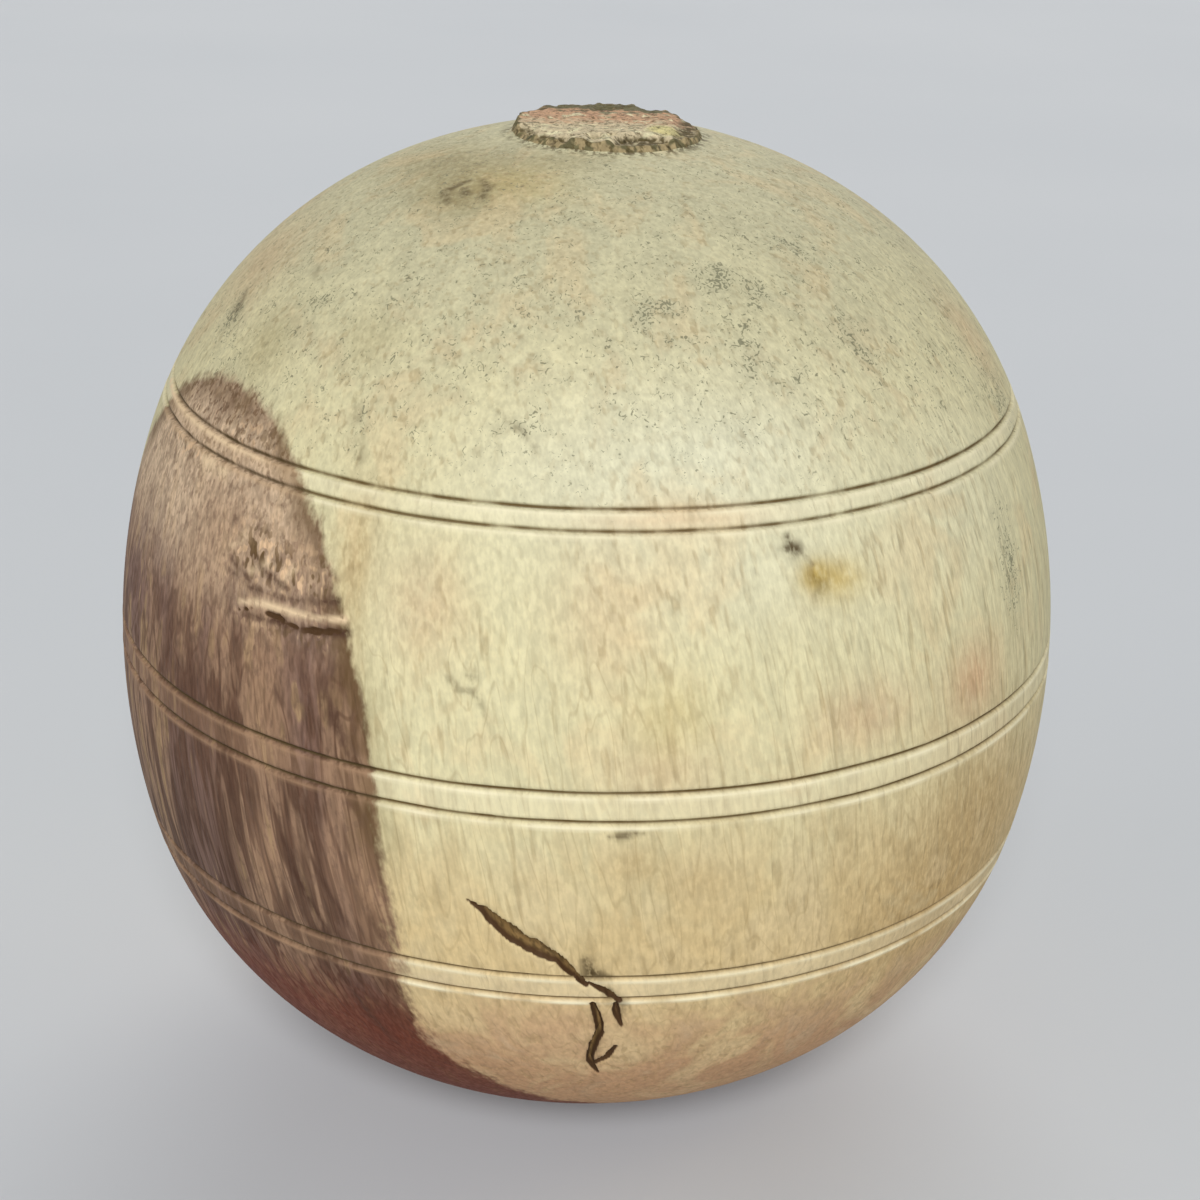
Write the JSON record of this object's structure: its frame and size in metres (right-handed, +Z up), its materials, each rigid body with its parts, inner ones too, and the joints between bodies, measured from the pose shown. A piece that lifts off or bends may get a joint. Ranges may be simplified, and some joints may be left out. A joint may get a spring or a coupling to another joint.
{
  "type": "wooden ball",
  "caption": "Hand-turned wooden ball with paired scored lines round it, a low sawn nib on top, a patch of dark heartwood and a few cracks.",
  "frame": {"origin": "middle of the ball, on the turning axis", "axes": "+Z up along the turning axis towards the sawn nib, -Y towards the side with the cracks, +X to the right of that side"},
  "size_m": [0.08, 0.08, 0.0839],
  "materials": {
    "wood": "bare, unpolished, with dark heartwood on one side"
  },
  "bodies": {
    "root": {"turned_ball": "wood"}
  },
  "joints": []
}
